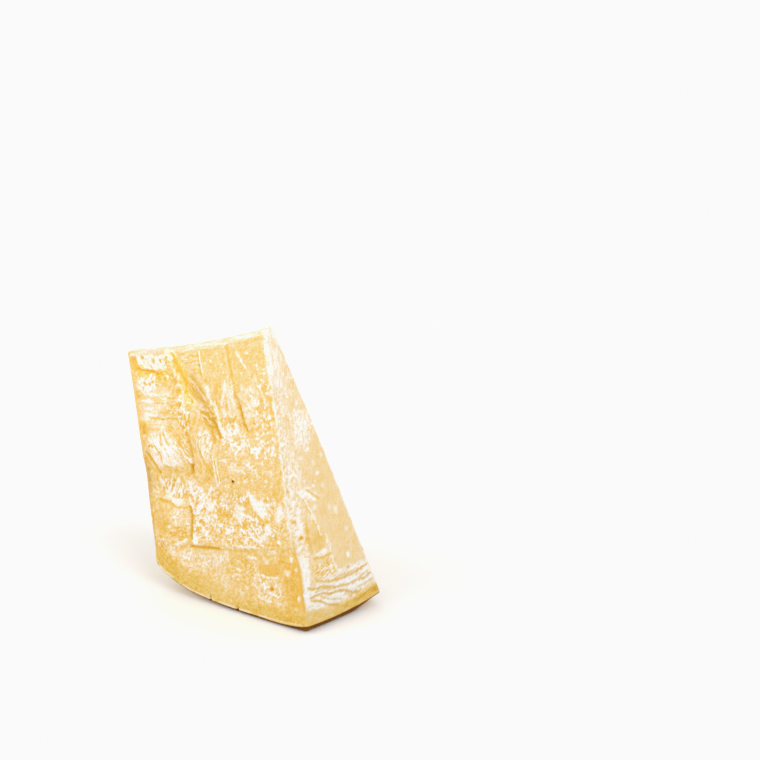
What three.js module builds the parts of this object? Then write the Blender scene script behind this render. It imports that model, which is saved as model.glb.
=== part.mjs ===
// A chunk of hard grating cheese, cut from half the height of a wheel.
// It stands on its rind heel with the narrow ridge up, and leans towards the end of the wheel.
//
// The chunk is first shaped as it lay in the wheel, in millimetres:
//   b runs along the wheel's axis, from the smooth middle cut (0) to the rind end (chunkLength),
//   c runs across the wedge, from the broken front face to the back cut,
//   q runs from the heel towards the wheel's axis.
// It is then turned onto its heel, flattened where it rests, and put over the origin:
// +X is the way the middle cut faces, +Y the way the back cut faces, +Z is up.

import * as THREE from 'three';
import { mergeVertices } from 'three/addons/utils/BufferGeometryUtils.js';

// The heel, which is the wheel's rind
const heelRadius = 190;       // across the wedge
const chunkLength = 83.7;
const heelSlope = 0.1;        // how fast the rind draws in from the middle cut to the end of the wheel
const heelDropSoft = 5.2;     // how much more it has drawn in at the end, as a square law
const heelDropHard = 9.9;     // and as an eighth-power law, which makes the wheel's shoulder
const heelAtCut = { drop: 1.5, width: 16 };    // and how far the cut has drawn it in beside itself

// The wedge: edges given at the middle cut (near) and at the rind end (far)
const ridgeHeight = { near: 147.3, far: 135.5 };
const ridgePlace = { near: -15.0, far: -39.4 };    // c of the ridge's front edge
const ridgeWidth = 5.0;
const ridgeSag = 1.9;
const frontFoot = { near: -20.1, far: -45.4 };     // c of the broken face at the heel
const backFoot = { near: 27.7, far: 17.3 };        // c of the back cut at the heel
const backBulge = { ends: 1.0, middle: 3.0 };
const edgeRound = 1.6;

// How it stands
const leanAngle = THREE.MathUtils.degToRad(10.3);   // towards the rind end
const rollAngle = THREE.MathUtils.degToRad(2.0);    // towards the front
const footDepth = 0.9;                              // pressed flat where it rests
// Near the corner of the front and the middle cut the heel turns down to the ground close to its rim
const tuck = { rim: 0.5, width: 3.0, along: { full: 24, none: 50 }, across: { full: 8, none: 24 } };

// The faces are grids: along b, across c and up q
const cells = { along: 28, across: 12, up: 38 };

// Relief of the broken front face, laid out on a chart of its own length and height, which is then fitted
// to the face. Each line is a row of [q, value] that it passes through; the step line's values are b.
const chart = { length: 97.5, near: 142.8, far: 131.1 };
const chartDrop = { near: 1.0, far: 3.3 };    // how far its foot lies below the face's own
const chartBend = 1.6;
const stepLine = [
  [0, 69], [34, 67], [52, 64], [76, 59], [90, 56], [102, 46], [118, 50], [130, 61], [150, 68],
];
const stepHeight = [[26, 0], [40, 1.2], [76, 1.9], [92, 1.8], [104, 3.0], [124, 3.2], [138, 1.2], [150, 0.6]];
const stepWidth = [[0, 4], [88, 5], [100, 10], [118, 12], [132, 7], [150, 5]];
const hump = { b: 76, q: 82, halfLength: 17, halfHeight: 14, rise: 2.6 };
const hollow = { b: 80, q: 60, halfLength: 15, halfHeight: 10, rise: -1.3 };
const pillow = { b: 74, q: 104, halfLength: 17, halfHeight: 9, rise: 0.9 };
const pit = { b: 86, q: 121, halfLength: 9, halfHeight: 4, rise: -1.6 };
const endFall = { from: 84, depth: 2.2, q: 62, halfHeight: 44 };
const edgeFall = { width: 5, depth: 1.6, low: 50, high: 80 };
const ledge = { q: 33, slope: 0.045, rise: 0.7, width: 3 };
const flutes = { b: 29, q: 103, halfLength: 18, halfHeight: 26, pitch: 9.5, lean: 0.12, rise: 0.55 };

// Relief of the middle cut: a bevel down the front edge, and layers that flake above the heel
const bevel = { width: 8, depth: 2.5, low: 40, high: 118, fade: 9 };
const flakes = { low: 9, high: 21, fade: 3, slope: 0.1, pitch: 4, depth: 0.6 };

// Wear of the rind end beside the broken face, as rows of [q, depth]
const endWear = { width: 12, rows: [[20, 0], [31, 1.4], [60, 1.2], [74, 2.0], [88, 0.5], [150, 0]] };

// The grain of the cheese, which is fine on the middle cut and absent from the rind
const crumble = { grain: 13, rise: 0.5, fineness: 2.1, onMiddleCut: 0.3, onBack: 0.6 };
const rindBand = { low: 8, high: 30 };
const backWave = { length: 34, height: 46, rise: 0.9 };
const seeds = { front: 3, middleCut: 11, backWave: 23, back: 31 };

const cheeseColor = 0xf2d693;

// ---------------------------------------------------------------------------------------------
// Small functions

const mix = (near, far, t) => near + (far - near) * t;
const between = (ends, t) => mix(ends.near, ends.far, t);
const clamp01 = (t) => Math.min(1, Math.max(0, t));

function smooth(low, high, x) {
  const t = clamp01((x - low) / (high - low));
  return t * t * (3 - 2 * t);
}

// 1 from low to high, fading to 0 outside
const inside = ({ low, high, fade }, x) => smooth(low - fade, low, x) * (1 - smooth(high, high + fade, x));

// A smooth curve through a row of [x, value] pairs
function through(rows, x) {
  let i = 0;
  while (i < rows.length - 2 && x > rows[i + 1][0]) i += 1;
  const [x0, value0] = rows[i];
  const [x1, value1] = rows[i + 1];
  return mix(value0, value1, smooth(x0, x1, x));
}

// A round-topped mound, or a dish where its rise is negative
function mound({ b, q, halfLength, halfHeight, rise }, atB, atQ) {
  const r2 = ((atB - b) / halfLength) ** 2 + ((atQ - q) / halfHeight) ** 2;
  return r2 < 1 ? rise * (1 - r2) ** 2 : 0;
}

// Seeded value noise in -1..1 on a square lattice
function latticeValue(i, j, seed) {
  const s = Math.sin(i * 127.1 + j * 311.7 + seed * 74.7) * 43758.5453;
  return 2 * (s - Math.floor(s)) - 1;
}

function noise(x, y, seed) {
  const i = Math.floor(x);
  const j = Math.floor(y);
  const fx = smooth(0, 1, x - i);
  const fy = smooth(0, 1, y - j);
  const low = mix(latticeValue(i, j, seed), latticeValue(i + 1, j, seed), fx);
  const high = mix(latticeValue(i, j + 1, seed), latticeValue(i + 1, j + 1, seed), fx);
  return mix(low, high, fy);
}

function crumbleAt(x, y, seed) {
  const coarse = noise(x / crumble.grain, y / crumble.grain, seed);
  const fineGrain = crumble.grain / crumble.fineness;
  const fine = noise(x / fineGrain, y / fineGrain, seed + 1);
  return crumble.rise * (coarse + fine / 2);
}

// ---------------------------------------------------------------------------------------------
// The plain wedge

function heelLevel(b, c) {
  const t = b / chunkLength;
  const drawnIn = heelSlope * b + heelDropSoft * t ** 2 + heelDropHard * t ** 8;
  const besideCut = heelAtCut.drop * clamp01(1 - b / heelAtCut.width) ** 2;
  const radius = heelRadius - drawnIn - besideCut;
  return heelRadius - Math.sqrt(radius ** 2 - c ** 2);
}

function ridgeLevel(t) {
  return between(ridgeHeight, t) - ridgeSag * Math.sin(Math.PI * t);
}

function wedgePoint(u, v, w) {
  const b = u * chunkLength;
  const ridge = between(ridgePlace, u);
  const front = mix(between(frontFoot, u), ridge, w);
  const bulge = mix(backBulge.ends, backBulge.middle, Math.sin(Math.PI * u)) * Math.sin(Math.PI * w);
  const back = mix(between(backFoot, u), ridge + ridgeWidth, w) + bulge;
  const c = mix(front, back, v);
  const q = mix(heelLevel(b, c), ridgeLevel(u), w);
  return { b, c, q };
}

// ---------------------------------------------------------------------------------------------
// Relief, in millimetres outward

function frontRelief(faceB, faceQ) {
  const t = faceB / chunkLength;
  const b = chart.length * t;
  const w = faceQ / between(ridgeHeight, t);
  const q = between(chart, t) * w - between(chartDrop, t) * (1 - w ** chartBend);
  const line = through(stepLine, q);
  const halfWidth = through(stepWidth, q) / 2;
  const lower = smooth(line - halfWidth, line + halfWidth, b);
  let rise = -through(stepHeight, q) * lower;
  for (const shape of [hump, hollow, pillow, pit]) rise += mound(shape, b, q);
  const alongEnd = 1 - ((q - endFall.q) / endFall.halfHeight) ** 2;
  rise -= endFall.depth * smooth(endFall.from, chart.length, b) * clamp01(alongEnd);
  rise -= edgeFall.depth * clamp01(1 - b / edgeFall.width) ** 2 * smooth(edgeFall.low, edgeFall.high, q);
  rise += ledge.rise * smooth(0, ledge.width, q - ledge.q + ledge.slope * (b - chart.length));
  const fluteFade = mound({ ...flutes, rise: 1 }, b, q);
  rise += flutes.rise * fluteFade * Math.sin(2 * Math.PI * (b + flutes.lean * q) / flutes.pitch);
  rise += crumbleAt(b, q, seeds.front) * smooth(rindBand.low, rindBand.high, q);
  return rise;
}

function middleCutRelief(c, q, frontC) {
  const inBevel = clamp01(1 - (c - frontC) / bevel.width);
  let rise = -bevel.depth * inBevel * inside(bevel, q);
  const layer = q - flakes.slope * c;
  const groove = (1 + Math.sin(2 * Math.PI * layer / flakes.pitch)) / 2;
  rise -= flakes.depth * inside(flakes, layer) * groove;
  return rise + crumble.onMiddleCut * crumbleAt(c, q, seeds.middleCut);
}

function endRelief(c, q, frontC) {
  return -through(endWear.rows, q) * clamp01(1 - (c - frontC) / endWear.width);
}

// How far the heel is brought down to the ground, from 0 at its rim to 1
function tuckAt(b, c, frontC) {
  const fromRim = clamp01((Math.min(b, c - frontC) - tuck.rim) / tuck.width);
  const fade = (1 - smooth(tuck.along.full, tuck.along.none, b)) * (1 - smooth(tuck.across.full, tuck.across.none, c));
  return fade * (1 - (1 - fromRim) ** 2);
}

function backRelief(b, q) {
  const wave = noise(b / backWave.length, q / backWave.height, seeds.backWave);
  return backWave.rise * wave + crumble.onBack * crumbleAt(b, q, seeds.back);
}

// ---------------------------------------------------------------------------------------------
// The solid

// Grid lines lie evenly over a side, with two narrow rows within the rounding at each end
function gridPlace(t, count, length) {
  const k = Math.round(t * count);
  const narrow = edgeRound / 2;
  if (k <= 2) return k * narrow;
  if (k >= count - 2) return length - (count - k) * narrow;
  return mix(2 * narrow, length - 2 * narrow, (k - 2) / (count - 4));
}

// Pulls a point of a box's surface onto the box with rounded edges, and gives the way out there
function roundOff(point, sizes) {
  const lowest = new THREE.Vector3().setScalar(edgeRound);
  const core = point.clone().clamp(lowest, sizes.clone().subScalar(edgeRound));
  const out = point.clone().sub(core).normalize();
  return { point: core.addScaledVector(out, edgeRound), out };
}

function shapedPoint(u, v, w) {
  const width = mix(backFoot.near - frontFoot.near, ridgeWidth, w);
  const sizes = new THREE.Vector3(chunkLength, width, ridgeHeight.near);
  const flat = new THREE.Vector3(
    gridPlace(u, cells.along, sizes.x),
    gridPlace(v, cells.across, sizes.y),
    gridPlace(w, cells.up, sizes.z),
  );
  const { point, out } = roundOff(flat, sizes);
  point.divide(sizes);
  const place = wedgePoint(point.x, point.y, point.z);
  const frontC = wedgePoint(point.x, 0, point.z).c;
  if (out.y < 0) place.c -= out.y ** 2 * frontRelief(place.b, place.q);
  if (out.y > 0) place.c += out.y ** 2 * backRelief(place.b, place.q);
  if (out.x < 0) place.b -= out.x ** 2 * middleCutRelief(place.c, place.q, frontC);
  if (out.x > 0) place.b += out.x ** 2 * endRelief(place.c, place.q, frontC);
  const tucked = out.z < 0 ? out.z ** 2 * tuckAt(place.b, place.c, frontC) : 0;
  return { ...place, tucked };
}

function chunkGeometry() {
  const geometry = new THREE.BoxGeometry(1, 1, 1, cells.along, cells.across, cells.up);
  const position = geometry.attributes.position;
  const tucks = [];
  for (let i = 0; i < position.count; i += 1) {
    const u = 0.5 - position.getX(i);
    const v = position.getY(i) + 0.5;
    const w = position.getZ(i) + 0.5;
    const { b, c, q, tucked } = shapedPoint(u, v, w);
    position.setXYZ(i, -b, c, q);
    tucks.push(tucked);
  }
  geometry.rotateX(rollAngle);
  geometry.rotateY(-leanAngle);
  return { geometry, tucks };
}

// Lets the lowest part of the heel down to the ground, presses it flat there and tucks its rim in
function settle(geometry, tucks) {
  geometry.computeBoundingBox();
  geometry.translate(0, 0, -geometry.boundingBox.min.z - footDepth);
  const position = geometry.attributes.position;
  for (let i = 0; i < position.count; i += 1) {
    position.setZ(i, Math.max(0, position.getZ(i)) * (1 - tucks[i]));
  }
  geometry.computeBoundingBox();
  const middle = geometry.boundingBox.getCenter(new THREE.Vector3());
  geometry.translate(-middle.x, -middle.y, 0);
}

function cheeseChunk() {
  const { geometry: shaped, tucks } = chunkGeometry();
  settle(shaped, tucks);
  shaped.deleteAttribute('normal');
  shaped.deleteAttribute('uv');
  const geometry = mergeVertices(shaped, 1e-3);
  geometry.computeVertexNormals();
  const material = new THREE.MeshStandardMaterial({ color: cheeseColor, roughness: 0.55, metalness: 0 });
  const mesh = new THREE.Mesh(geometry, material);
  mesh.name = 'cheese_chunk';
  return mesh;
}

const group = new THREE.Group();
group.add(cheeseChunk());

export default group;
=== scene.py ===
"""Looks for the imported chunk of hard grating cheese.

The chunk is one piece. It is shaped on a finer grid from the sizes of the CAD solid, and gets the fine
relief and the colours of a broken face, a cut face and a rind. Its shaping is in millimetres in the wheel:
  b runs along the wheel's axis, from the smooth middle cut (0) to the rind end,
  c runs across the wedge, from the broken front face to the back cut,
  q runs from the rind heel towards the wheel's axis.
Blender's scene is in metres, in the frame of the CAD model.
"""
import math

import bpy
import numpy as np
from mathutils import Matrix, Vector


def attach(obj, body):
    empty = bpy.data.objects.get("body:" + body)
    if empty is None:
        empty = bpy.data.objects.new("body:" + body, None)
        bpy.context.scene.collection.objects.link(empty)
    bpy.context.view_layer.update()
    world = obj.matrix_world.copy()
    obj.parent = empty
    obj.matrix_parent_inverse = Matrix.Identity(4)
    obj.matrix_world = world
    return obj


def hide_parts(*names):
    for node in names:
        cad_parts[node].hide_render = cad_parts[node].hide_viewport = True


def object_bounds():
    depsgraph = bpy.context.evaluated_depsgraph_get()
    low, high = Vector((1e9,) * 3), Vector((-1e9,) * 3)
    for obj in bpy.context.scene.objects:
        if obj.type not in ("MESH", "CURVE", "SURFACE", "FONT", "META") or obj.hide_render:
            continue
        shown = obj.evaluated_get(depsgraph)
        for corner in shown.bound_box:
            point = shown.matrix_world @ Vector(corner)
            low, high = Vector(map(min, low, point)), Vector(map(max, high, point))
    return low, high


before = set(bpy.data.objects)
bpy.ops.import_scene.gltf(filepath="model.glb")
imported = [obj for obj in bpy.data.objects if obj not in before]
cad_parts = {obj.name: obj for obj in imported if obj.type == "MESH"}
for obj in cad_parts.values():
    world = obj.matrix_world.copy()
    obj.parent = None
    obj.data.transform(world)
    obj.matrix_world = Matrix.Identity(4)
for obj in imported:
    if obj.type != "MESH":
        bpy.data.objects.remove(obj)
cad_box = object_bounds()
scene = bpy.context.scene

# ---- Sizes of the solid, as in the CAD source ----

HEEL_RADIUS = 190.0
LENGTH = 83.7
HEEL_SLOPE = 0.1
HEEL_DROP_SOFT, HEEL_DROP_HARD = 5.2, 9.9
HEEL_AT_CUT = (1.5, 16)  # drop, width
RIDGE_HEIGHT = (147.3, 135.5)  # at the middle cut, at the rind end
RIDGE_PLACE = (-15.0, -39.4)
RIDGE_WIDTH = 5.0
RIDGE_SAG = 1.9
FRONT_FOOT = (-20.1, -45.4)
BACK_FOOT = (27.7, 17.3)
BACK_BULGE = (1.0, 3.0)  # at the ends, in the middle
EDGE_ROUND = 1.6
LEAN = math.radians(10.3)
ROLL = math.radians(2.0)
FOOT_DEPTH = 0.9  # pressed flat where it rests
TUCK_RIM, TUCK_WIDTH = 0.5, 3.0  # the heel turns down to the ground close to its rim
TUCK_ALONG, TUCK_ACROSS = (24, 50), (8, 24)  # where that is full, and where it has gone
MM = 0.001

# The broken face and the middle cut are laid out on charts that are fitted to them
CHART_LENGTH = 97.5
CHART_HEIGHT = (142.8, 131.1)
CHART_DROP = (1.0, 3.3)  # how far the charts' feet lie below the faces' own
CHART_BEND = (1.6, 2)  # power of that drop, on the broken face and on the middle cut
CHART_FRONT = (-21.8, -11.7)  # c of the middle cut's front edge, at the heel and at the ridge

# The step across the broken face, as rows of (q, value)
STEP_LINE = [(0, 69), (34, 67), (52, 64), (76, 59), (90, 56), (102, 46), (118, 50), (130, 61), (150, 68)]
STEP_HEIGHT = [(26, 0), (40, 1.2), (76, 1.9), (92, 1.8), (104, 3.0), (124, 3.2), (138, 1.2), (150, 0.6)]
STEP_WIDTH = [(0, 4), (88, 5), (100, 10), (118, 12), (132, 7), (150, 5)]
# Mounds and dishes of the broken face: b, q, half length, half height, rise
MOUNDS = [(76, 82, 17, 14, 2.6), (80, 60, 15, 10, -1.3), (74, 104, 17, 9, 0.9), (86, 121, 9, 4, -1.6)]
FLUTES = (29, 103, 18, 26, 0.55)
FLUTE_PITCH, FLUTE_LEAN = 9.5, 0.12
END_FALL = (84, 62, 44, 2.2)  # b that it starts from, q, half height, depth
EDGE_FALL = (5, 50, 80, 1.6)  # width, q of its low and its high end, depth
LEDGE = (33, 0.045, 3, 0.7)  # q at the rind end, slope, width, rise
BEVEL = (8, 40, 118, 9, 2.5)  # width, lowest and highest q, fade, depth
FLAKES = (9, 21, 3, 0.1, 4, 0.6)  # lowest and highest q, fade, slope, pitch, depth
END_WEAR = [(20, 0), (31, 1.4), (60, 1.2), (74, 2.0), (88, 0.5), (150, 0)]  # rows of (q, depth)
END_WEAR_WIDTH = 12
CRUMBLE_GRAIN, CRUMBLE_FINENESS = 13, 2.1
CRUMBLE_ON_CUT, CRUMBLE_ON_BACK = 0.3, 0.6
CRUMBLE_STARTS = (8, 30)  # q, on the broken face
BACK_WAVE = (34, 46, 0.9)  # length, height, rise

CELLS = (188, 52, 264)  # along b, across c, up q
# Sides of the grid: the axis that a side lies across, its end of it, and whether its cells are coarse
GRID_SIDES = [(1, 0, False), (1, 1, True), (0, 0, False), (0, 1, True), (2, 1, True), (2, 0, True)]
COARSE_RING = 4  # fine cells round the edge of a coarse side


# ---- Small functions on arrays ----
# The last number of noise, grain, streaks and warped is a seed.

def mix(near, far, t):
    return near + (far - near) * t


def ease(low, high, x):
    t = np.clip((x - low) / (high - low), 0, 1)
    return t * t * (3 - 2 * t)


def fall(low, high, x):
    return 1 - ease(low, high, x)


def inside(low, high, fade, x):
    return ease(low - fade, low, x) * fall(high, high + fade, x)


def through(rows, x):
    """A smooth curve through a row of (x, value) pairs."""
    places, values = np.array(rows, float).T
    i = np.clip(np.searchsorted(places, x) - 1, 0, len(rows) - 2)
    return mix(values[i], values[i + 1], ease(places[i], places[i + 1], x))


def lattice(i, j, seed):
    """A repeatable number between -1 and 1 for each pair of whole numbers."""
    s = np.sin(i * 127.1 + j * 311.7 + seed * 74.7) * 43758.5453
    return 2 * (s - np.floor(s)) - 1


def between_corners(corner, sx, sy):
    return mix(mix(corner(0, 0), corner(1, 0), sx), mix(corner(0, 1), corner(1, 1), sx), sy)


def value_noise(x, y, seed):
    i, j = np.floor(x), np.floor(y)
    sx, sy = ease(0, 1, x - i), ease(0, 1, y - j)
    return between_corners(lambda di, dj: lattice(i + di, j + dj, seed), sx, sy)


def noise(x, y, seed):
    """Gradient noise, about -1 to 1."""
    i, j = np.floor(x), np.floor(y)
    fx, fy = x - i, y - j

    def corner(di, dj):
        turn = math.pi * lattice(i + di, j + dj, seed)
        return np.cos(turn) * (fx - di) + np.sin(turn) * (fy - dj)

    sx, sy = fx ** 3 * (fx * (6 * fx - 15) + 10), fy ** 3 * (fy * (6 * fy - 15) + 10)
    return 1.6 * between_corners(corner, sx, sy)


def grain(x, y, seed):
    """Three octaves of noise, turned against each other."""
    total = noise(x, y, seed)
    total = total + 0.6 * noise(1.7 * x + 1.1 * y + 5.2, 1.7 * y - 1.1 * x, seed + 1)
    return total + 0.4 * noise(3.9 * x - 1.3 * y, 3.9 * y + 1.3 * x + 3.7, seed + 2)


def along_over(x, y, angle):
    """Places along and across a direction at an angle from x, in degrees."""
    a = math.radians(angle)
    return x * math.cos(a) + y * math.sin(a), y * math.cos(a) - x * math.sin(a)


def streaks(x, y, angle, length, width, seed):
    """Noise drawn out along a direction."""
    along, over = along_over(x, y, angle)
    over = over + 0.5 * width * noise(along / (0.7 * length), over / (2.5 * width), seed + 7)
    even = grain(along / length, over / width, seed)
    return mix(np.clip(1.6 * even, -1, 1), 2 * ease(-0.35, 0.35, even) - 1, 0.6)


def oval(x, y, cx, cy, half_x, half_y, turn, soft):
    """1 inside a rounded oblong, 0 outside."""
    along, over = along_over(x - cx, y - cy, turn)
    power = 2.6
    total = (np.abs(along) / half_x) ** power + (np.abs(over) / half_y) ** power
    return fall(1 - soft, 1 + soft, total ** (1 / power))


def stroke(x, y, points, width):
    """1 on the middle of a line through the points, falling to 0 at about its width away."""
    nearest = np.full(x.shape, np.inf)
    for (x0, y0), (x1, y1) in zip(points, points[1:]):
        dx, dy = x1 - x0, y1 - y0
        t = np.clip(((x - x0) * dx + (y - y0) * dy) / (dx * dx + dy * dy), 0, 1)
        nearest = np.minimum(nearest, np.hypot(x - x0 - t * dx, y - y0 - t * dy))
    return fall(0.15 * width, 0.85 * width, nearest)


def warped(x, y, amount, size, seed):
    return x + amount * grain(x / size, y / size, seed), y + amount * grain(x / size, y / size, seed + 5)


# ---- Places on the faces ----

def ridge_level(t):
    return mix(*RIDGE_HEIGHT, t) - RIDGE_SAG * np.sin(np.pi * t)


def heel_level(b, c):
    t = b / LENGTH
    drawn_in = HEEL_SLOPE * b + HEEL_DROP_SOFT * t ** 2 + HEEL_DROP_HARD * t ** 8
    drop, width = HEEL_AT_CUT
    radius = HEEL_RADIUS - drawn_in - drop * np.clip(1 - b / width, 0, 1) ** 2
    return HEEL_RADIUS - np.sqrt(radius ** 2 - c ** 2)


def front_chart(b, q):
    """A place on the broken face as a place on its chart."""
    t = b / LENGTH
    w = q / mix(*RIDGE_HEIGHT, t)
    return CHART_LENGTH * t, mix(*CHART_HEIGHT, t) * w - mix(*CHART_DROP, t) * (1 - w ** CHART_BEND[0])


def cut_chart(c, q):
    """A place on the middle cut as a place on its chart."""
    w = q / RIDGE_HEIGHT[0]
    from_front = c - mix(FRONT_FOOT[0], RIDGE_PLACE[0], w)
    return from_front + mix(*CHART_FRONT, w), CHART_HEIGHT[0] * w - CHART_DROP[0] * (1 - w ** CHART_BEND[1])


# ---- Colour and fine relief of the faces ----
# tone runs from 0.2 or less (brown crack) over 0.45 (gold) and 0.6 (straw) to 0.95 (white bloom).

# The ground of the broken face: tone, swing of its streaks, their angle, length and width
FRONT_GROUND = (0.57, 0.1, 40, 3.5, 1.6)

# Its areas, each painted over those before it: b, q, half length, half height, turn, softness, and the same
FRONT_AREAS = [
    (24, 128, 26, 10, 0, 0.2, 0.56, 0.05, 90, 2.4, 1.4), (53, 126, 8, 8.5, 0, 0.4, 0.6, 0.13, 8, 7, 0.9),
    (80.5, 126.5, 13.5, 5, 0, 0.2, 0.86, 0.1, 85, 4, 1.2), (72, 124.5, 3.5, 3, 0, 0.6, 0.66, 0.2, 60, 2, 1.2),
    (95.5, 124.5, 3.2, 4.5, 0, 0.3, 0.4, 0.06, 90, 4, 2), (74, 119, 16, 2.6, 0, 0.4, 0.42, 0.14, 20, 3, 1.2),
    (88.5, 113.6, 7.5, 3.6, 0, 0.4, 0.8, 0.2, 30, 1.6, 1),
    (95.5, 109, 2.5, 2.5, 0, 0.5, 0.42, 0.06, 90, 4, 2),
    (82, 102.5, 12.5, 9.5, 0, 0.25, 0.76, 0.1, 3, 8, 1.1), (76, 101.6, 5, 1.8, 0, 0.5, 0.55, 0.1, 3, 8, 1.1),
    (69.5, 103, 3, 4.6, 0, 0.6, 0.52, 0.16, 3, 4, 1.1), (64, 112, 5, 14, 8, 0.4, 0.57, 0.16, 70, 4, 1.4),
    (64, 99, 4.5, 9, 0, 0.4, 0.54, 0.24, 80, 2.6, 1),
    # Low tones on the slope below the groove, b 42 to 57: the paste's tan, with painted shade on it
    (53, 112.5, 9.5, 5.5, -32, 0.35, 0.44, 0.24, -38, 9, 0.7),
    (56, 112.5, 5, 6.5, 0, 0.5, 0.47, 0.15, -56, 7, 0.8), (54, 104, 6, 3.5, -20, 0.5, 0.66, 0.16, -30, 6, 1),
    (46, 100, 7.5, 3.8, -14, 0.4, 0.44, 0.24, -14, 9, 0.9),
    (79, 82.5, 12.5, 8.6, 0, 0.35, 0.86, 0.14, -58, 6, 1.1),
    (69, 90, 8, 2.4, -32, 0.5, 0.52, 0.2, -38, 5, 0.9), (66.5, 83, 3.5, 8, 15, 0.5, 0.66, 0.26, -62, 5, 0.9),
    (73, 73.6, 8, 1.6, 0, 0.5, 0.52, 0.14, 0, 3, 1.2), (94.5, 92.5, 3, 3.2, 0, 0.4, 0.36, 0.08, 80, 4, 1.6),
    (94.8, 101, 1.6, 5, 0, 0.5, 0.62, 0.08, 80, 4, 1.6), (57, 80, 4.6, 8, 0, 0.4, 0.6, 0.16, -65, 4, 1),
    (50.5, 87, 7, 7, 30, 0.5, 0.74, 0.2, 50, 4, 1), (48.6, 73.2, 2.4, 3.4, 0, 0.5, 0.44, 0.1, 60, 2, 1),
    (29, 110, 3, 8, 12, 0.4, 0.75, 0.1, 100, 9, 1.6), (36.5, 109, 3.6, 8, 10, 0.4, 0.57, 0.1, 100, 9, 1.6),
    (31, 98.8, 5, 2.6, 0, 0.5, 0.48, 0.22, 60, 2.4, 1), (31, 94.6, 4.6, 3, 0, 0.5, 0.74, 0.2, 110, 2.4, 1.1),
    (16, 108, 6.5, 9.5, 0, 0.35, 0.72, 0.1, 120, 3, 1.6), (10.8, 103, 1.4, 5, 0, 0.6, 0.5, 0.1, 90, 3, 1.2),
    (6, 105, 4, 15, 0, 0.4, 0.52, 0.1, 100, 3, 1.2), (41, 91.5, 4, 3, 0, 0.5, 0.46, 0.14, 40, 3, 1),
    (24, 87, 16, 4.5, 0, 0.5, 0.62, 0.14, 50, 2.4, 1.2), (26, 78, 18, 5.5, 0, 0.5, 0.6, 0.12, 4, 4, 0.8),
    (26, 71, 24, 3.6, 0, 0.5, 0.54, 0.08, 20, 3, 1), (33, 52, 33, 14.5, 0, 0.2, 0.56, 0.15, 50, 2, 1.3),
    (60.5, 58, 6.5, 9, 0, 0.4, 0.66, 0.24, 38, 6, 1.2), (61, 45.5, 6.5, 6.5, 0, 0.4, 0.66, 0.26, 28, 4, 1.2),
    (44.4, 55.4, 3.4, 3.6, 0, 0.6, 0.42, 0.1, 40, 1.6, 1),
    (30.7, 49.8, 1.8, 5.6, 0, 0.6, 0.42, 0.08, 80, 4, 1.4),
    (26, 61, 1.9, 4.4, 8, 0.6, 0.44, 0.08, 80, 4, 1.4), (17.5, 51.6, 4.4, 2, -30, 0.6, 0.42, 0.12, -30, 3, 1),
    (12.4, 45.4, 2.6, 2.2, 0, 0.6, 0.44, 0.12, 20, 2, 1), (76, 48.6, 7, 6, 0, 0.5, 0.67, 0.12, 10, 2, 0.9),
    (76.5, 41.4, 7, 3.2, 0, 0.5, 0.46, 0.12, 5, 3, 0.9), (78, 64, 9, 5.6, 0, 0.4, 0.62, 0.26, 52, 7, 1.3),
    (79, 57.4, 7, 1.5, -10, 0.4, 0.86, 0.06, 0, 7, 1.3), (92.5, 62, 4.5, 6, 0, 0.4, 0.6, 0.14, -22, 3.5, 0.8),
    (92, 48, 7, 8.5, 0, 0.35, 0.52, 0.1, 70, 3.5, 1.2), (88, 43.5, 3.4, 4, 0, 0.6, 0.44, 0.08, 80, 3.5, 1.4),
    (92.4, 75.4, 6, 2.8, -42, 0.35, 0.5, 0.12, -42, 6, 1.2),
    (92, 35, 4.6, 4.2, 0, 0.4, 0.48, 0.26, 100, 1.4, 0.8), (89, 26, 8, 4, -10, 0.5, 0.36, 0.05, 10, 5, 2),
    (68, 29.4, 11, 4.4, 0, 0.4, 0.68, 0.14, 60, 2, 1), (51, 31.5, 6, 5, 0, 0.5, 0.68, 0.14, 88, 3.5, 1),
    (48.5, 20.5, 6, 5, 0, 0.5, 0.67, 0.08, 30, 2.4, 1.4), (36, 26, 10, 9, 0, 0.5, 0.53, 0.12, 20, 2.4, 1.2),
    (21.5, 19.5, 8, 6.2, 0, 0.4, 0.58, 0.12, 60, 1.8, 1),
    (17.6, 28.8, 7.4, 3.4, 0, 0.25, 0.44, 0.02, 0, 6, 2), (5.5, 22, 5, 13, 0, 0.5, 0.42, 0.05, 70, 4, 1.6),
    (33.4, 55.2, 3.2, 4, -20, 0.4, 0.82, 0.08, 40, 2, 1), (52.2, 57, 2.6, 2.8, 0, 0.4, 0.8, 0.08, 40, 2, 1),
    (6.2, 56.6, 2.4, 4.4, -38, 0.4, 0.84, 0.1, 40, 2, 1), (14.8, 48.2, 2, 3.2, -12, 0.4, 0.84, 0.1, 40, 2, 1),
    (20.4, 59.4, 2.6, 6.6, 36, 0.35, 0.88, 0.14, 50, 1.6, 1),
    (16.2, 60, 1.6, 2.4, 20, 0.5, 0.88, 0.1, 50, 1.6, 1),
    (66.2, 39.2, 3, 2.9, 0, 0.2, 0.93, 0.04, 50, 1.6, 1),
]

# Its fields of white specks: b, q, half length, half height, cover
FRONT_SPECKS = [
    (34, 51, 34, 16, 0.4), (20, 88.5, 22, 6.5, 0.44), (31, 94, 7, 6, 0.44), (7, 104, 8, 20, 0.36),
    (64, 103, 6, 12, 0.34), (24, 129, 26, 12, 0.13), (22, 75, 24, 9, 0.24), (50, 78, 14, 12, 0.14),
    (76, 48, 11, 8, 0.3), (80, 30, 14, 7, 0.3), (88, 114, 9, 6, 0.4), (62, 60, 9, 12, 0.38),
    (21.5, 19, 11, 8, 0.42), (45, 26, 18, 12, 0.22), (92, 35, 6, 6, 0.34), (92, 52, 6, 16, 0.16),
    (50, 30, 50, 30, 0.1),
]

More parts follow.
